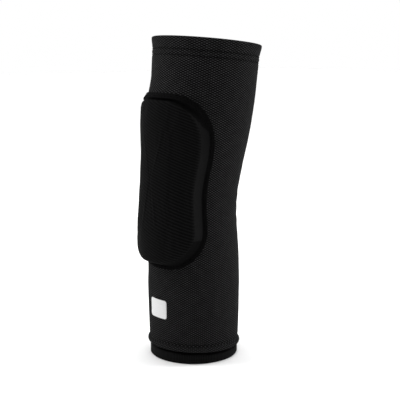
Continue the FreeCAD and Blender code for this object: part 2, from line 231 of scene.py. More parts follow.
def outline(base, crown, grow, low_corner, high_corner):
    """Evenly spaced (height, distance round the sleeve) points of a closed hourglass outline."""
    share = 0.5 - 0.5 * np.cos(np.linspace(0, math.pi, 400))
    height = base + (crown - base) * share
    half = LOW_HALF + (WAIST_HALF - LOW_HALF) * ease((height - LOW_FULL) / (WAIST_AT - LOW_FULL))
    half = half + (HIGH_HALF - WAIST_HALF) * ease((height - WAIST_AT) / (HIGH_FULL - WAIST_AT)) + grow
    half = half - corner_loss(height - base, low_corner) - corner_loss(crown - height, high_corner)
    right = np.stack([height, half], -1)
    left = np.stack([height[::-1], -half[::-1]], -1)
    start = np.array([[base, 0.0]])
    loop = np.vstack([start, right, left, start])
    travelled = np.concatenate([[0], np.cumsum(np.linalg.norm(np.diff(loop, axis=0), axis=1))])
    wanted = np.arange(OUTLINE_POINTS) / OUTLINE_POINTS * travelled[-1]
    return np.stack([np.interp(wanted, travelled, loop[:, k]) for k in range(2)], -1)


def inset(loop, distance):
    """The outline moved inwards by a distance."""
    along = np.roll(loop, -1, 0) - np.roll(loop, 1, 0)
    along /= np.linalg.norm(along, axis=1)[:, None]
    inward = np.stack([along[:, 1], -along[:, 0]], -1)
    towards_middle = np.array([np.mean(loop[:, 0]), 0.0]) - loop
    if np.sum(inward * towards_middle) < 0:
        inward = -inward
    return loop + inward * distance


PAD_BASE, PAD_CROWN = 86.5 * MM, 223.5 * MM
FACE_BASE, FACE_CROWN = 88 * MM, 220.5 * MM
LOW_CORNER, HIGH_CORNER = 30 * MM, 31 * MM
FACE_LOW_CORNER, FACE_HIGH_CORNER = 28 * MM, 28 * MM
base_loop = outline(PAD_BASE, PAD_CROWN, 0, LOW_CORNER, HIGH_CORNER)
face_loop = outline(FACE_BASE, FACE_CROWN, -1 * MM, FACE_LOW_CORNER, FACE_HIGH_CORNER)
WALL_LEAN = math.radians(9)
TENT_RISE = 5.0 * MM
TENT_REACH = 6.5 * MM
TENT_INSIDE = 2.2 * MM
TENT_FROM, TENT_GROWS_OVER = 196 * MM, 18 * MM
TENT_PAST_SIDE, TENT_FADES_OVER = 4 * MM, 26 * MM


def tent(height, angle):
    """How far the knit is pulled off the arm above the pad, where it climbs to the pad's upper end."""
    sideways = np.abs(angle) * girth(height)
    beyond_corner = np.clip(sideways - (HIGH_HALF - HIGH_CORNER), 0, HIGH_CORNER)
    end_here = PAD_CROWN - HIGH_CORNER + np.sqrt(HIGH_CORNER**2 - beyond_corner**2)
    beyond = height - end_here
    fall = np.where(beyond > 0, np.exp(-beyond / TENT_REACH), np.exp(-((beyond / TENT_INSIDE) ** 2)))
    near_top = ease((height - TENT_FROM) / TENT_GROWS_OVER)
    near_middle = ease((HIGH_HALF + TENT_PAST_SIDE - sideways) / TENT_FADES_OVER)
    return TENT_RISE * fall * near_top * near_middle


LEAN_LEAST_ANGLE = math.radians(30)


def over_sleeve(loop, rise, lean=0.0, tented=1.0):
    """Points of an outline standing above the sleeve, its sides leaning towards the pad's middle."""
    height, distance = loop[:, 0], loop[:, 1]
    angle = distance / girth(height)
    lift = tent(height, angle) * tented
    angle = angle * (1 - lean / np.maximum(np.abs(angle), LEAN_LEAST_ANGLE))
    return on_arm(height, girth(height) + rise + lift, angle)


# %% [markdown]
# A cover stretched over foam isn't a drawn surface: it settles. The cover is simulated as cloth with
# a little pressure behind it, held along its seam and free over the face, and its movement is capped,
# because firm moulded foam gives only about a millimetre.

# %% Letting the cover settle
SETTLE_FRAMES = 20
SETTLE_PRESSURE = 4.0
SETTLE_CAP = 1.0 * MM
COVER_MASS = 0.3
SETTLE_QUALITY = 6


def settle_cover(piece, first_free, past_free):
    """Simulate the points from first_free up to past_free, and the last, as pressed cloth; hold the rest."""
    mesh = piece.data
    before = np.empty(len(mesh.vertices) * 3)
    mesh.vertices.foreach_get("co", before)
    free = np.zeros(len(mesh.vertices), bool)
    free[first_free:past_free] = True
    free[-1] = True
    held = piece.vertex_groups.new(name="held")
    held.add([int(k) for k in np.flatnonzero(~free)], 1.0, "REPLACE")
    cloth = piece.modifiers.new("cloth", "CLOTH")
    cloth.point_cache.frame_start = 1
    cloth.point_cache.frame_end = SETTLE_FRAMES
    cloth.settings.quality = SETTLE_QUALITY
    cloth.settings.mass = COVER_MASS
    cloth.settings.vertex_group_mass = held.name
    cloth.settings.use_pressure = True
    cloth.settings.uniform_pressure_force = SETTLE_PRESSURE
    cloth.settings.effector_weights.gravity = 0.0
    cloth.collision_settings.use_collision = False
    for frame_number in range(1, SETTLE_FRAMES + 1):
        scene.frame_set(frame_number)
    settled = piece.evaluated_get(bpy.context.evaluated_depsgraph_get()).data
    after = np.empty(len(mesh.vertices) * 3)
    settled.vertices.foreach_get("co", after)
    moved = (after - before).reshape(-1, 3)
    distance = np.linalg.norm(moved, axis=1)
    most, mean = distance.max() * 1000, distance[free].mean() * 1000
    print(f"cover settled by up to {most:.2f} mm, mean {mean:.2f} mm")
    kept = SETTLE_CAP * np.tanh(distance / SETTLE_CAP) / np.maximum(distance, 1e-9)
    mesh.vertices.foreach_set("co", before + (moved * kept[:, None]).ravel())
    piece.modifiers.remove(cloth)
    piece.vertex_groups.remove(held)
    scene.frame_set(1)
    mesh.update()


# %% [markdown]
# The pad is a closed block: a crowned face, a small round where the cover turns over the foam's edge,
# hidden inner walls, and a back that lies on the sleeve. It is thickest down the middle and thinner
# over the upper arm, so its front stays nearly straight while the arm widens beneath it.

# %% The pad's block
EDGE_RISE = 10.0 * MM
MIDDLE_RISE = 13.0 * MM
CROWN_THINNER = 2.4 * MM
EDGE_ROUND = 3.4 * MM
TOP_EDGE_SHARPER = 0.7
LOW_END_ROUND = 17 * MM
LOW_END_DROP = 1.8 * MM
WALL_FOOT = 0.9 * MM
BLOCK_INSIDE = 1.1 * MM
CROWN_AT_ENDS = 0.35
CROWN_FADE_LOW, CROWN_FADE_HIGH = 34 * MM, 26 * MM
EDGE_ROUND_DEPTH = 0.75
SHARPER_FROM, SHARPER_OVER = 200 * MM, 14 * MM
INNER_WALL_BELOW_FACE = 0.3 * MM


def face_rise(loop, edge_distance):
    """How high the face stands over the sleeve at an outline, given its distance from the edge."""
    height, distance = loop[:, 0], loop[:, 1]
    across = np.clip(np.abs(distance) / HIGH_HALF, 0, 1)
    ends = ease((height - FACE_BASE) / CROWN_FADE_LOW) * ease((FACE_CROWN - height) / CROWN_FADE_HIGH)
    crown = (1 - across**2) * (CROWN_AT_ENDS + (1 - CROWN_AT_ENDS) * ends)
    rise = EDGE_RISE + (MIDDLE_RISE - EDGE_RISE) * crown
    rise = rise - CROWN_THINNER * ease((height - WAIST_AT) / (HIGH_FULL - WAIST_AT))
    near_low_end = 1 - np.clip((height - FACE_BASE) / LOW_END_ROUND, 0, 1)
    rise = rise - LOW_END_DROP * near_low_end**2
    rounding = EDGE_ROUND_DEPTH * (1 - TOP_EDGE_SHARPER * ease((height - SHARPER_FROM) / SHARPER_OVER))
    return rise - corner_loss(edge_distance, EDGE_ROUND) * rounding


edge_top = face_rise(face_loop, 0.0)
edge_steps = np.array([0, 0.35, 0.8, 1.4, 2.2, 3.2, 4.5, 6.0]) * MM
inner_loop = inset(face_loop, edge_steps[-1])
shrink_steps = np.linspace(1, 0.012, 34)[1:]
face_centre = np.array([(FACE_BASE + FACE_CROWN) / 2, 0.0])
back_loop = inset(base_loop, BLOCK_INSIDE)
block_rings = []
block_flat = []
for shrink in (0.02, 0.2, 0.4, 0.6, 0.8, 0.93, 1.0):
    ring = face_centre + (back_loop - face_centre) * shrink
    block_rings.append(over_sleeve(ring, WALL_FOOT, 0.0, 0.0))
    block_flat.append(ring)
for share in (0.15, 0.4, 0.65, 0.85):
    ring = inset(base_loop + (face_loop - base_loop) * share, BLOCK_INSIDE * (1.3 - share))
    rise = WALL_FOOT + (edge_top - WALL_FOOT) * share - INNER_WALL_BELOW_FACE
    block_rings.append(over_sleeve(ring, rise, WALL_LEAN * share, 0.0))
    block_flat.append(ring)
HELD_EDGE_RINGS = 4
held_rings = len(block_rings) + HELD_EDGE_RINGS
for step in edge_steps:
    ring = inset(face_loop, step)
    block_rings.append(over_sleeve(ring, face_rise(ring, step), WALL_LEAN, 0.0))
    block_flat.append(ring)
for shrink in shrink_steps:
    ring = face_centre + (inner_loop - face_centre) * shrink
    depth = edge_steps[-1] + (1 - shrink) * LOW_HALF
    block_rings.append(over_sleeve(ring, face_rise(ring, depth), WALL_LEAN * shrink, 0.0))
    block_flat.append(ring)
flat = np.stack(block_flat)
flat = np.concatenate([flat, flat[:, :1]], axis=1)
pad_cover = grid_cloth(
    "pad_face_cover", np.stack(block_rings), flat[:, :, 1], flat[:, :, 0], closed_ends=True
)
settle_cover(pad_cover, held_rings * OUTLINE_POINTS, len(block_rings) * OUTLINE_POINTS)
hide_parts("pad_cover", "pad_foam_core")

# %% [markdown]
# The side wall is a ring of cloth between the border and the face. It leans in a little and is drawn
# slightly hollow, most of all at the upper end, where the knit climbs to meet it. One ring of cloth
# is enough, because the smooth strip along its sides and its darker ends, which are painted shade,
# differ only in finish, given further down.

# %% The side strip
wall_shares = np.array([0, 0.06, 0.14, 0.24, 0.36, 0.5, 0.64, 0.78, 0.9, 0.97, 1.0])
wall_rings = []
WALL_HOLLOW, UPPER_HOLLOW_MORE = 0.7 * MM, 1.6
UPPER_END_FROM, UPPER_END_OVER = 205 * MM, 16 * MM
upper_end = ease((face_loop[:, 0] - UPPER_END_FROM) / UPPER_END_OVER)
for share in wall_shares:
    ring = base_loop + (face_loop - base_loop) * share
    hollow = WALL_HOLLOW * math.sin(math.pi * share) * (1 + UPPER_HOLLOW_MORE * upper_end)
    rise = WALL_FOOT + (edge_top - WALL_FOOT) * share - hollow
    wall_rings.append(over_sleeve(ring, rise, WALL_LEAN * share, 1 - share))
wall_points = np.stack(wall_rings)
travel = np.concatenate([[0], np.cumsum(np.linalg.norm(np.roll(base_loop, -1, 0) - base_loop, axis=1))])
wall_across = np.tile(travel, (len(wall_shares), 1))
wall_along = np.tile((wall_shares * EDGE_RISE)[:, None], (1, OUTLINE_POINTS + 1))
pad_side_strip = grid_cloth("pad_side_strip", wall_points, wall_across, wall_along)
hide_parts("pad_side_gusset")

# %% [markdown]
# The border is flat cloth folded under at its outer edge. Two rows of stitches run through it, and
# each row pulls the cloth down into a shallow groove.

# %% The sewn border
ROWS_AT = (1.0 * MM, 2.7 * MM)
ROW_GROOVE_RISE = 0.6 * MM
PAD_STITCH, PAD_STITCH_GAP, PAD_THREAD = 2.3 * MM, 0.8 * MM, 0.38 * MM
border_steps = [
    (-3.7, 0.15), (-3.9, 0.5), (-3.85, 0.85), (-3.6, 1.0), (-3.3, 1.0), (-3.0, 0.85), (-2.7, 0.6),
    (-2.4, 0.85), (-2.15, 1.05), (-1.8, 1.1), (-1.5, 1.05), (-1.25, 0.85), (-1.0, 0.6), (-0.75, 0.85),
    (-0.5, 1.05), (0.0, 1.1), (0.5, 1.0), (0.8, 0.5),
]
border_rings = []
border_flat = []
for step, rise in border_steps:
    ring = inset(base_loop, step * MM)
    border_rings.append(over_sleeve(ring, rise * MM))
    border_flat.append(ring)
flat = np.stack(border_flat)
flat = np.concatenate([flat, flat[:, :1]], axis=1)
pad_border = grid_cloth("pad_border", np.stack(border_rings), flat[:, :, 1], flat[:, :, 0])
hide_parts("pad_flange")

stitch_rows = []
for label, node, distance in (
    ("pad_edge_stitching", "pad_edge_stitches", ROWS_AT[0]),
    ("pad_border_stitching", "pad_flange_stitches", ROWS_AT[1]),
):
    ring = inset(base_loop, -distance)
    line = over_sleeve(ring, ROW_GROOVE_RISE)
    outward = over_sleeve(ring, 5 * MM) - line
    row = row_of_stitches(label, line, outward, PAD_STITCH, PAD_STITCH_GAP, PAD_THREAD, 0.05 * MM)
    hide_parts(node)
    stitch_rows.append(row)

# %% [markdown]
# The tube is one cloth from rim to wrist. At the top it is folded inwards over an elastic and held
# by two rows of stitches; at the bottom its raw edge is turned into a small roll over the cuff.
# Its surface isn't a perfect pipe: the knit lifts in short folds where the pad's corners pull it,
# gathers a little in the crook, and dips along each row of stitches.

# %% The knitted sleeve
HEM_ROWS = (ARM_LENGTH - 10.5 * MM, ARM_LENGTH - 15.5 * MM)
KNIT = 1.2 * MM
KNIT_GIRTH = 42 * MM
COLUMNS = 288
RIDGE_AT, RIDGE_HALF_TALL, RIDGE_DEEP = 12.6 * MM, 2.3 * MM, 1.6 * MM
EDGE_GROOVE_ABOVE, EDGE_GROOVE_DEEP = 4.6 * MM, 0.9 * MM
RIM_ROUND, HEM_THICK = 1.0 * MM, 3.6 * MM
PAD_CORNER_ANGLE = 0.86
CORNER_PULLS = ((222 * MM, 0.85 * MM, 7), (88 * MM, 0.5 * MM, 6))
FOLD_REACH, FOLD_CLEAR = 13 * MM, 9 * MM
CROOK_FOLD, CROOK_PITCH, CROOK_REACH = 0.45 * MM, 12 * MM, 24 * MM
CROOK_SPREAD = 0.75
ROW_DIP, ROW_DIP_WIDTH = 0.6 * MM, 1.0 * MM
RIM_FLARE, RIM_FLARE_BELOW, RIM_FLARE_WIDTH = 1.0 * MM, 2 * MM, 4.5 * MM
HEM_PUCKER, HEM_PUCKERS, EDGE_PUCKER, EDGE_PUCKERS = 0.1 * MM, 61, 0.12 * MM, 47
SEAM_DIP, SEAM_DIP_WIDTH = 0.25 * MM, 0.8 * MM
column_angles = np.arange(COLUMNS) / COLUMNS * 2 * math.pi - math.pi
closed_angles = np.append(column_angles, math.pi)


def pull_folds(height, angle, corner_height, corner_angle, strength, count):
    """Short folds fanning out of one corner of the pad."""
    along = height - corner_height
    round_arm = (angle - corner_angle) * girth(height)
    distance = np.hypot(along, round_arm)
    direction = np.arctan2(round_arm, along)
    return strength * np.cos(count * direction) * np.exp(-distance / FOLD_REACH) * ease(distance / FOLD_CLEAR)


def knit_relief(height, angle):
    """How far the knit stands off its smooth shape."""
    relief = 0.18 * MM * np.sin(3 * angle + 40 * height) * np.sin(55 * height + 1.3)
    for side in (-1, 1):
        for corner_height, strength, count in CORNER_PULLS:
            corner_angle = side * PAD_CORNER_ANGLE
            relief = relief + pull_folds(height, angle, corner_height, corner_angle, strength, count)
    from_crook = np.abs(np.abs(angle) - math.pi)
    crook = bell(from_crook, CROOK_SPREAD) * bell(height - ELBOW, CROOK_REACH)
    relief = relief + CROOK_FOLD * crook * np.cos(2 * math.pi * (height - ELBOW) / CROOK_PITCH)
    for row in HEM_ROWS:
        relief = relief - ROW_DIP * bell(height - row, ROW_DIP_WIDTH)
    relief = relief + RIM_FLARE * bell(height - (ARM_LENGTH - RIM_FLARE_BELOW), RIM_FLARE_WIDTH)
    between_rows = bell(height - sum(HEM_ROWS) / 2, 3 * MM)
    relief = relief + HEM_PUCKER * np.cos(angle * HEM_PUCKERS) * between_rows
    above_ridge = bell(height - RIDGE_AT - 4 * MM, 4 * MM)
    relief = relief + EDGE_PUCKER * np.cos(angle * EDGE_PUCKERS) * above_ridge
    return relief - SEAM_DIP * bell(from_crook * girth(height), SEAM_DIP_WIDTH)


def edge_sag(angle):
    """How far the sleeve's lower edge sits from level: a little high under the pad, low at the crook."""
    return (1.5 * np.cos(angle + math.radians(5)) - 0.8) * MM


# Each row of the section is a height, a step off the outside, and its shares of relief and of tent.
fine_low, plain_middle, fine_hem = np.arange(16, 22, 0.5), np.arange(22, 255, 1.5), np.arange(255, 274.1, 0.5)
outer_heights = np.concatenate([fine_low, plain_middle, fine_hem]) * MM
section = [(height, 0.0, 1.0, 1.0) for height in outer_heights]
for turn in np.linspace(0, math.pi, 9)[1:]:
    rim_height = ARM_LENGTH - RIM_ROUND + RIM_ROUND * math.sin(turn)
    rim_step = -HEM_THICK / 2 * (1 - math.cos(turn))
    section.append((rim_height, rim_step, 1 - 0.35 * turn / math.pi, 0.0))
for height in np.arange(270, 258, -2.0) * MM:
    section.append((height, -HEM_THICK, 0.0, 0.0))
section.append((258 * MM, -3.2 * MM, 0.0, 0.0))
section.append((257.4 * MM, -KNIT, 0.0, 0.0))
for height in np.arange(254, 20, -3.0) * MM:
    section.append((height, -KNIT, 1.0, 1.0))
section.append((15 * MM, -KNIT, 0.2, 0.0))
section.append((11.6 * MM, -0.9 * MM, 0.0, 0.0))
for turn in np.linspace(-2.0, 1.9, 12):
    roll_height = RIDGE_AT + RIDGE_HALF_TALL * math.sin(turn)
    section.append((roll_height, 0.1 * MM + RIDGE_DEEP * math.cos(turn), 0.15, 0.0))
section = np.array(section)
SAG_FADES_FROM, SAG_FADES_OVER = 14 * MM, 16 * MM
lower_edge = 1 - ease((section[:, 0] - SAG_FADES_FROM) / SAG_FADES_OVER)
heights = section[:, 0][:, None] + lower_edge[:, None] * edge_sag(column_angles)[None, :]
relief = knit_relief(heights, column_angles[None, :]) * section[:, 2][:, None]
edge_groove = EDGE_GROOVE_DEEP * bell(section[:, 0] - RIDGE_AT - EDGE_GROOVE_ABOVE, 0.8 * MM)
relief = relief - (edge_groove * section[:, 3])[:, None]
relief = relief + tent(heights, column_angles[None, :]) * section[:, 3][:, None]
sleeve_points = on_arm(heights, girth(heights) + section[:, 1][:, None] + relief, column_angles[None, :])
steps = np.hypot(np.diff(section[:, 0], append=section[0, 0]), np.diff(section[:, 1], append=section[0, 1]))
path = np.concatenate([[0], np.cumsum(steps)])
along = np.tile(path[:, None], (1, COLUMNS + 1))
across = np.tile(closed_angles[None, :] * KNIT_GIRTH, (len(path), 1))
sleeve = grid_cloth("knit_sleeve", sleeve_points, across, along, round_rows=True)
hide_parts("forearm_sleeve", "elbow_sleeve", "upper_sleeve")

# %% [markdown]
# The hem is closed on a twin-needle machine, which leaves two level rows of short stitches.

# %% Hem stitching
HEM_STITCH, HEM_STITCH_GAP, HEM_THREAD, HEM_LIFT = 2.2 * MM, 0.6 * MM, 0.36 * MM, 0.12 * MM
for label, node, height in (
    ("hem_stitching_upper", "upper_hem_stitch_one", HEM_ROWS[0]),
    ("hem_stitching_lower", "upper_hem_stitch_two", HEM_ROWS[1]),
):
    around = np.linspace(0, 2 * math.pi, 720, endpoint=False)
    relief = knit_relief(height, (around + math.pi) % (2 * math.pi) - math.pi)
    line = on_arm(height, girth(height) + relief, around)
    outward = on_arm(height, girth(height) + 5 * MM, around) - line
    row = row_of_stitches(label, line, outward, HEM_STITCH, HEM_STITCH_GAP, HEM_THREAD, HEM_LIFT)
    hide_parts(node)
    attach(row, UPPER)

# %% [markdown]
# Below the roll shows the cuff: a smooth band of elastic knit folded in half at the rim, tighter
# than the sleeve, so that the sleeve can't ride up the arm. It draws in under the roll, but only as
# far as the elastic inside it allows, so that the elastic stays covered.

# %% The cuff
CUFF_INNER = 36.6 * MM
CUFF_OUTER = 38.8 * MM
CUFF_EDGE = 0.9 * MM
CUFF_DRAW = 0.6 * MM
DRAWN_FROM, DRAWN_OVER = 6.5 * MM, 2 * MM
ELASTIC_TOP, ABOVE_ELASTIC_OVER = 9.3 * MM, 1.2 * MM
# Above this height over the sagging edge, the cuff's outside is painted near-black as shadow under the roll.
SHADOW_UNDER_ROLL_FROM = 7.6 * MM
CUFF_WAVE, CUFF_WAVES = 0.03 * MM, 64
# Each row of the section is a height, a radius, and 1 on the outside or 0 on the inside.
cuff_section = [(0.0, CUFF_INNER + 0.5 * MM, 0)]
for turn in np.linspace(-0.5 * math.pi, 0, 6):
    cuff_section.append((CUFF_EDGE * (1 + math.sin(turn)), CUFF_OUTER - CUFF_EDGE * (1 - math.cos(turn)), 1))
for height in np.arange(1.5, 12.5, 0.6) * MM:
    cuff_section.append((height, CUFF_OUTER, 1))
cuff_section += [(13 * MM, CUFF_OUTER - 0.2 * MM, 1), (19 * MM, CUFF_INNER + 0.7 * MM, 0)]
for height in (19, 15, 10, 5, 1.5):
    cuff_section.append((height * MM, CUFF_INNER, 0))
cuff_section.append((0.5 * MM, CUFF_INNER + 0.15 * MM, 0))
cuff_section = np.array(cuff_section)
cuff_heights = cuff_section[:, 0][:, None]
under_edge = cuff_heights - edge_sag(column_angles)[None, :]
waves = CUFF_WAVE * np.cos(column_angles * CUFF_WAVES) * bell(cuff_heights - 5 * MM, 6 * MM)
drawn_in = ease((under_edge - DRAWN_FROM) / DRAWN_OVER)
drawn_in = drawn_in + ease((cuff_heights - ELASTIC_TOP) / ABOVE_ELASTIC_OVER)
cuff_radii = cuff_section[:, 1][:, None] + waves - CUFF_DRAW * drawn_in * cuff_section[:, 2][:, None]
cuff_points = on_arm(cuff_heights, cuff_radii, column_angles[None, :])
cuff_line = np.vstack([cuff_section, cuff_section[:1]])[:, :2]
steps = np.linalg.norm(np.diff(cuff_line, axis=0), axis=1)
path = np.concatenate([[0], np.cumsum(steps)])
along = np.tile(path[:, None], (1, COLUMNS + 1))
across = np.tile(closed_angles[None, :] * CUFF_OUTER, (len(path), 1))
cuff = grid_cloth("cuff_band", cuff_points, across, along, round_rows=True)
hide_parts("forearm_cuff_band")
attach(cuff, FOREARM)

# %% [markdown]
# A flat panel becomes a tube by one seam, and it falls opposite the pad, down the crook. Inside, its
# allowance is a narrow overlocked strip.

# %% The seam inside the crook
seam_heights = np.arange(21, 254, 2.0) * MM
seam_profile = [(-2.5, -1.35), (-2.6, -1.7), (-2.2, -2.0), (0, -2.1), (2.2, -2.0), (2.6, -1.7), (2.5, -1.35)]
seam_points = np.stack(
    [
        on_arm(seam_heights, girth(seam_heights) + rise * MM, math.pi + side * MM / girth(seam_heights))
        for side, rise in seam_profile
    ],
    axis=1,
)
across = np.tile((np.arange(len(seam_profile) + 1) * 1.1 * MM)[None, :], (len(seam_heights), 1))
along = np.tile(seam_heights[:, None], (1, len(seam_profile) + 1))
crook_seam = grid_cloth("crook_seam", seam_points, across, along)
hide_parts("forearm_seam", "elbow_seam", "upper_seam")

# %% [markdown]
# A plain heat-pressed patch sits on the forearm below the pad. It has rounded corners and no mark.

# %% The blank patch
PATCH_LOW, PATCH_HIGH, PATCH_HALF = 38 * MM, 54.5 * MM, 10.5 * MM
PATCH_CORNER = 2.2 * MM
patch_rows = np.linspace(0, 1, 26)
patch_columns = np.linspace(-1, 1, 29)
patch_layers = []
PATCH_BACK, PATCH_FACE, PATCH_BEVEL = 0.06 * MM, 0.34 * MM, 0.15 * MM
for rise, shrink in ((PATCH_BACK, 0.0), (PATCH_FACE, PATCH_BEVEL)):
    height = PATCH_LOW + shrink + (PATCH_HIGH - PATCH_LOW - 2 * shrink) * patch_rows
    nearest_end = np.minimum(height - PATCH_LOW, PATCH_HIGH - height)
    half = PATCH_HALF - shrink - corner_loss(nearest_end, PATCH_CORNER)
    distance = patch_columns[None, :] * half[:, None]
    angle = distance / girth(height)[:, None]
    relief = knit_relief(height[:, None], angle)
    film = on_arm(height[:, None], girth(height)[:, None] + relief + rise, angle)
    patch_layers.append((film, distance, height))
rows, columns = patch_layers[0][0].shape[:2]
top_faces, corner_rows, corner_columns = grid_faces(rows, columns, False, False)
rim = [(0, j) for j in range(columns)] + [(i, columns - 1) for i in range(1, rows)]
rim += [(rows - 1, j) for j in range(columns - 2, -1, -1)] + [(i, 0) for i in range(rows - 2, 0, -1)]
rim = [i * columns + j for i, j in rim]
side_faces = [
    (rim[k], rim[(k + 1) % len(rim)], rim[(k + 1) % len(rim)] + rows * columns, rim[k] + rows * columns)
    for k in range(len(rim))
]
faces = [tuple(reversed(f)) for f in top_faces] + [tuple(f + rows * columns) for f in top_faces]
faces += side_faces
points = np.vstack([layer[0].reshape(-1, 3) for layer in patch_layers])
flat_points = np.vstack(
    [np.stack([d, np.tile(h[:, None], (1, columns))], -1).reshape(-1, 2) for _, d, h in patch_layers]
)
cloth = [flat_points[corner] for face in faces for corner in face]
patch = smooth_mesh("blank_patch_film", points, faces, cloth)
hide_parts("blank_patch")
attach(patch, FOREARM)

# %% [markdown]
# Black cloth is told apart by its texture, not its colour, so each cloth gets its own pattern. The
# patterns are drawn in cloth coordinates, in metres, by a few small nodes: waves, noise and a mix of
# two greys. This helper adds those nodes, so that each finish below is only a few lines.


# %% A helper for finishes
class Shader:
    """A small helper that adds nodes to one material and links them by name."""

    def __init__(self, name, roughness, sheen=0.0, specular=0.3):
        self.material = bpy.data.materials.new(name)
        self.material.use_nodes = True
        self.tree = self.material.node_tree
        self.surface = self.tree.nodes["Principled BSDF"]
        self.surface.inputs["Roughness"].default_value = roughness
        self.surface.inputs["Sheen Weight"].default_value = sheen
        self.surface.inputs["Sheen Roughness"].default_value = 0.45
        self.surface.inputs["Specular IOR Level"].default_value = specular
        self.cloth = self.node("ShaderNodeUVMap", uv_map="cloth").outputs["UV"]

    def node(self, kind, inputs=None, **settings):
        made = self.tree.nodes.new(kind)
        for key, value in settings.items():
            setattr(made, key, value)
        for key, value in (inputs or {}).items():
            self.feed(made.inputs[key], value)
        return made

    def feed(self, socket, value):
        if isinstance(value, bpy.types.NodeSocket):
            self.tree.links.new(value, socket)
        else:
            socket.default_value = value

    def math(self, operation, first, second=0.0):
        made = self.node("ShaderNodeMath", {0: first, 1: second}, operation=operation)
        return made.outputs[0]

    def split(self):
        """The two cloth coordinates, across and along, in metres."""
        parts = self.node("ShaderNodeSeparateXYZ", {0: self.cloth})
        return parts.outputs[0], parts.outputs[1]

    def wave(self, distance, period):
        """A smooth wave from 0 to 1 along a distance."""
        turn = self.math("MULTIPLY", distance, 2 * math.pi / period)
        swing = self.math("SINE", turn)
        return self.math("ADD", self.math("MULTIPLY", swing, 0.5), 0.5)

    def noise(self, period, detail=2.0):
        made = self.node("ShaderNodeTexNoise", {"Vector": self.cloth, "Scale": 1 / period, "Detail": detail})
        return made.outputs["Fac"]

    def ramp(self, factor, low, high):
        """A colour from low to high as the factor goes from 0 to 1."""
        mixed = self.node("ShaderNodeMix", data_type="RGBA")
        self.feed(mixed.inputs["Factor"], factor)
        self.feed(mixed.inputs["A"], (*low, 1.0))
        self.feed(mixed.inputs["B"], (*high, 1.0))
        return mixed.outputs["Result"]

    def colour(self, value):
        self.feed(self.surface.inputs["Base Color"], value)

    def bump(self, height, depth, strength=1.0):
        made = self.node("ShaderNodeBump", {"Height": height, "Distance": depth, "Strength": strength})
        self.feed(self.surface.inputs["Normal"], made.outputs["Normal"])


def grey(value, tint=0.0):
    """A nearly neutral colour."""
    return (value, value, value * (1 + tint))


# %% [markdown]
# The tube is a pique knit: tiny raised cells in staggered columns and rows. Two crossed cosines give
# that stagger. A whole number of columns goes round the tube, so the pattern meets itself at the seam.

# %% The sleeve's knit
KNIT_COLUMNS_ROUND = 72
KNIT_COLUMN = 2 * math.pi * KNIT_GIRTH / KNIT_COLUMNS_ROUND
KNIT_ROW = 2.0 * MM
KNIT_DOT_SHARPNESS = 3.0


def pique_knit():
    """Small raised dots in staggered rows, with slow variation from the yarn."""
    made = Shader("pique_knit", roughness=0.92, sheen=0.004, specular=0.02)
    across, along = made.split()
    column = made.math("COSINE", made.math("MULTIPLY", across, 2 * math.pi / KNIT_COLUMN))
    row = made.math("COSINE", made.math("MULTIPLY", along, 2 * math.pi / KNIT_ROW))
    dots = made.math("ADD", made.math("MULTIPLY", made.math("MULTIPLY", column, row), 0.5), 0.5)
    dots = made.math("POWER", dots, KNIT_DOT_SHARPNESS)
    yarn = made.noise(0.8 * MM)
    height = made.math("ADD", dots, made.math("MULTIPLY", yarn, 0.35))
    worn = made.math("ADD", made.math("MULTIPLY", made.noise(7 * MM), 0.5), 0.45)
    tone = made.math("MULTIPLY", made.math("ADD", made.math("MULTIPLY", dots, 0.98), 0.02), worn)
    made.colour(made.ramp(tone, grey(0.0004, 0.02), grey(0.072, 0.02)))
    made.bump(height, 0.3 * MM)
    return made.material


# %% [markdown]
# The pad's face is cut on the slant from a ribbed cloth, so fine ribs run down across it. A single
# wave along a slanted distance draws them, and a little yarn noise keeps them from looking printed.

# %% The pad's ribbed cover
RIB_PITCH, RIB_SLANT = 2.45 * MM, 0.32


def ribbed_cover():
    """Fine slanting ribs in a closely knitted, nearly matt cloth."""
    made = Shader("ribbed_cover", roughness=0.75, sheen=0.0, specular=0.015)
    across, along = made.split()
    slanted = made.math("SUBTRACT", along, made.math("MULTIPLY", across, RIB_SLANT))
    ribs = made.wave(slanted, RIB_PITCH)
    yarn = made.noise(0.8 * MM)
    fine = made.wave(across, 1.2 * MM)
    height = made.math("ADD", ribs, made.math("MULTIPLY", made.math("ADD", fine, yarn), 0.15))
    tone = made.math("ADD", made.math("MULTIPLY", ribs, 0.6), made.math("MULTIPLY", yarn, 0.3))
    made.colour(made.ramp(tone, grey(0.0006, 0.02), grey(0.0085, 0.02)))
    made.bump(height, 0.16 * MM)
    return made.material


# %% [markdown]
# The side strip, the border and the near-black band of painted shadow under the cuff's roll are drawn
# as close flat cloths that differ only in tone, roughness and thread pitch, so one function makes all three.

# %% Flat cloths
def plain_cloth(name, dark, light, roughness, sheen, period, depth):
    """A flat closely woven cloth with a fine even texture."""
    made = Shader(name, roughness=roughness, sheen=sheen, specular=0.03)
    across, along = made.split()
    threads = made.math("MULTIPLY", made.wave(across, period), made.wave(along, period))
    yarn = made.noise(period)
    height = made.math("ADD", threads, made.math("MULTIPLY", yarn, 0.4))
    slow = made.math("MULTIPLY", made.noise(15 * MM), 0.3)
    tone = made.math("ADD", made.math("MULTIPLY", height, 0.5), slow)
    made.colour(made.ramp(tone, grey(dark, 0.03), grey(light, 0.03)))
    made.bump(height, depth)
    return made.material


# %% [markdown]
# The cuff stretches most, so it is knitted in narrow upright ribs that open and close round the arm.

# %% The cuff's elastic knit
def ribbed_cuff():
    """Elastic knit with narrow upright ribs."""
    made = Shader("elastic_cuff", roughness=0.8, sheen=0.005, specular=0.02)
    across, along = made.split()
    ribs = made.wave(across, 1.5 * MM)
    rows = made.wave(along, 0.8 * MM)
    height = made.math("ADD", ribs, made.math("MULTIPLY", rows, 0.25))
    made.colour(made.ramp(made.math("MULTIPLY", height, 0.7), grey(0.0020, 0.02), grey(0.0120, 0.02)))
    made.bump(height, 0.08 * MM)
    return made.material


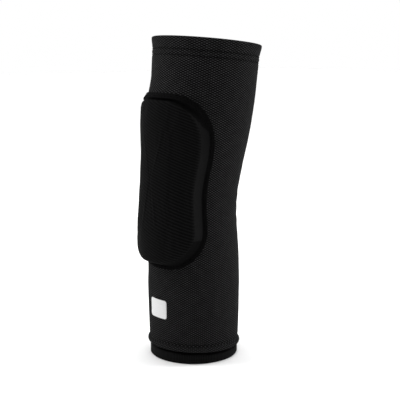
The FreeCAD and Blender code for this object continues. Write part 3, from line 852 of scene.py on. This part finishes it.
# %% [markdown]
# Thread, film and tape are small pieces. The thread and the tape have no cloth coordinates, so their
# grain is noise placed by the piece itself; the film lies on the knit and shows a hint of its cells.

# %% Thread, film and tape
def thread_material():
    """Twisted polyester thread, darker than the knit it holds, so that a row reads as a dark line."""
    made = Shader("polyester_thread", roughness=0.8, specular=0.05)
    position = made.node("ShaderNodeTexCoord").outputs["Generated"]
    twist = made.node("ShaderNodeTexNoise", {"Vector": position, "Scale": 240.0, "Detail": 2.0})
    made.colour(made.ramp(twist.outputs["Fac"], grey(0.0003), grey(0.0020)))
    return made.material


def patch_material():
    """Matt transfer film: pale, with the knit's texture just telling through."""
    made = Shader("transfer_film", roughness=0.55, specular=0.35)
    across, along = made.split()
    telling = made.math("MULTIPLY", made.wave(across, 1.7 * MM), made.wave(along, 1.7 * MM))
    grain = made.math("MULTIPLY", made.noise(2 * MM), 0.4)
    tone = made.math("ADD", made.math("MULTIPLY", telling, 0.4), grain)
    made.colour(made.ramp(tone, grey(0.62), grey(0.80)))
    made.bump(telling, 0.05 * MM)
    return made.material


def tape_material():
    """Woven elastic tape; its grain comes from its own place, as it has no cloth coordinates."""
    made = Shader("elastic_tape", roughness=0.7)
    place = made.node("ShaderNodeTexCoord").outputs["Object"]
    weave = made.node("ShaderNodeTexNoise", {"Vector": place, "Scale": 900.0, "Detail": 2.0})
    made.colour(made.ramp(weave.outputs["Fac"], grey(0.35), grey(0.6)))
    return made.material


# %% [markdown]
# Each piece is dressed in its finish. Two pieces wear two finishes: the side wall has the smooth strip
# along its sides only and the darker border cloth at its ends as painted shade, and the cuff has a
# near-black band of painted shadow close under the roll.

# %% Dressing the pieces
knit = pique_knit()
thread = thread_material()
dress = {
    "knit_sleeve": knit,
    "crook_seam": knit,
    "pad_face_cover": ribbed_cover(),
    "pad_side_strip": plain_cloth("smooth_strip", 0.0025, 0.008, 0.65, 0.005, 0.9 * MM, 0.06 * MM),
    # This cloth is also laid on the side strip's two ends as painted shade.
    "pad_border": plain_cloth("border_cloth", 0.0008, 0.0055, 0.9, 0.0, 1.1 * MM, 0.10 * MM),
    "cuff_band": ribbed_cuff(),
    "blank_patch_film": patch_material(),
    "pad_edge_stitching": thread,
    "pad_border_stitching": thread,
    "hem_stitching_upper": thread,
    "hem_stitching_lower": thread,
    "cuff_seam_thread": thread,
}
tape = tape_material()
for name in ("upper_hem_elastic", "cuff_elastic"):
    dress[name] = tape
for name, material in dress.items():
    piece = bpy.data.objects[name]
    piece.data.materials.clear()
    piece.data.materials.append(material)

# The strip tapers out at its upper end; at the pad's two short ends the wall wears the darker border
# cloth instead, as painted shade.
END_SHADE_BELOW, END_SHADE_ABOVE, END_SHADE_RISE = 110 * MM, 200 * MM, 18 * MM
pad_side_strip.data.materials.append(dress["pad_border"])
for polygon in pad_side_strip.data.polygons:
    row, column = divmod(polygon.index, OUTLINE_POINTS)
    end_shade_from = END_SHADE_ABOVE + END_SHADE_RISE * wall_shares[row] ** 2
    clear_of_end_shade = END_SHADE_BELOW < base_loop[column, 0] < end_shade_from
    polygon.material_index = 0 if clear_of_end_shade else 1

# The near-black band under the roll is painted shadow. It follows the sleeve's lower edge, so it is
# measured from the sagging edge, not from the rim.
cuff.data.materials.append(plain_cloth("painted_shadow_under_roll", 0.0002, 0.0010, 0.95, 0.0, 1.1 * MM, 0.05 * MM))
for polygon in cuff.data.polygons:
    row, column = divmod(polygon.index, COLUMNS)
    in_roll_shadow = cuff_section[row, 2] == 1 and under_edge[row, column] > SHADOW_UNDER_ROLL_FROM
    polygon.material_index = 1 if in_roll_shadow else 0

# %% [markdown]
# These pieces keep the fixed six-degree bend they were built with, and their placement is baked into
# their points.

# %% Baking the pieces' placement
for piece in (sleeve, crook_seam, pad_cover, pad_side_strip, pad_border, *stitch_rows):
    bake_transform(piece)

# %% [markdown]
# The set is a white studio: a pale floor, a bright surround behind the object and a dim one in
# front, so black cloth gets light edges and a dark middle.

# %% Floor
floor_mesh = bpy.data.meshes.new("floor")
FLOOR_HALF = 6.0
corners = [(-1, -1), (1, -1), (1, 1), (-1, 1)]
floor_mesh.from_pydata([(x * FLOOR_HALF, y * FLOOR_HALF, 0) for x, y in corners], [], [(0, 1, 2, 3)])
floor = bpy.data.objects.new("floor", floor_mesh)
scene.collection.objects.link(floor)
floor_paint = bpy.data.materials.new("pale_floor")
floor_paint.use_nodes = True
paint = floor_paint.node_tree.nodes["Principled BSDF"]
paint.inputs["Base Color"].default_value = (0.93, 0.93, 0.93, 1)
paint.inputs["Roughness"].default_value = 0.9
floor_mesh.materials.append(floor_paint)

# %% [markdown]
# The surround's strength fades with direction: white behind the piece and dim on the viewer's side.
# Two soft lights fill the sides, and a wide overhead sun keeps the floor white.

# %% Surround and lights
VIEW_FROM = math.radians(-40)
LOOK_DOWN = math.radians(10)
CAMERA_DISTANCE = 0.80
VIEW_WIDTH = 352 * MM
LOOK_AT = Vector((0.0059, -0.0016, 0.1364))
towards_camera = Vector((math.sin(VIEW_FROM), -math.cos(VIEW_FROM), 0.0))
to_the_right = Vector((math.cos(VIEW_FROM), math.sin(VIEW_FROM), 0.0))
world = bpy.data.worlds.new("studio")
scene.world = world
world.use_nodes = True
tree = world.node_tree
background = tree.nodes["Background"]
background.inputs["Color"].default_value = (1, 1, 1, 1)
WHITE_BEHIND, DIM_IN_FRONT = -0.5, 0.20
DIM_STRENGTH = 0.10
direction = tree.nodes.new("ShaderNodeTexCoord")
facing = tree.nodes.new("ShaderNodeVectorMath")
facing.operation = "DOT_PRODUCT"
facing.inputs[1].default_value = tuple(towards_camera)
tree.links.new(direction.outputs["Generated"], facing.inputs[0])
fade = tree.nodes.new("ShaderNodeMapRange")
fade.inputs["From Min"].default_value = WHITE_BEHIND
fade.inputs["From Max"].default_value = DIM_IN_FRONT
fade.inputs["To Min"].default_value = 1.0
fade.inputs["To Max"].default_value = DIM_STRENGTH
tree.links.new(facing.outputs["Value"], fade.inputs["Value"])
tree.links.new(fade.outputs["Result"], background.inputs["Strength"])


def soft_light(name, right, towards, up, power, size):
    """A square soft light placed as seen from the camera and aimed at the pad."""
    lamp = bpy.data.lights.new(name, "AREA")
    lamp.energy = power
    lamp.size = size
    made = bpy.data.objects.new(name, lamp)
    made.location = to_the_right * right + towards_camera * towards + Vector((0, 0, up))
    made.rotation_euler = (LOOK_AT - made.location).to_track_quat("-Z", "Y").to_euler()
    scene.collection.objects.link(made)


soft_light("left_light", -1.3, -0.1, 1.1, 15, 0.7)
soft_light("right_light", 1.4, -0.3, 1.1, 17, 0.7)

overhead = bpy.data.lights.new("overhead", "SUN")
overhead.energy = 2.0
overhead.angle = math.radians(50)
scene.collection.objects.link(bpy.data.objects.new("overhead", overhead))

# %% [markdown]
# The camera stands off the sleeve's side, turned 40 degrees towards the pad, and looks down 10
# degrees from about three sleeve lengths away.

# %% Camera
eye = bpy.data.cameras.new("camera")
eye.sensor_width = 36
camera = bpy.data.objects.new("camera", eye)
line_of_sight = towards_camera * math.cos(LOOK_DOWN) + Vector((0, 0, math.sin(LOOK_DOWN)))
camera.location = LOOK_AT + line_of_sight * CAMERA_DISTANCE
camera.rotation_euler = (-line_of_sight).to_track_quat("-Z", "Y").to_euler()
eye.angle = 2 * math.atan(VIEW_WIDTH / 2 / CAMERA_DISTANCE)
scene.collection.objects.link(camera)
scene.camera = camera
scene.view_settings.view_transform = "Standard"
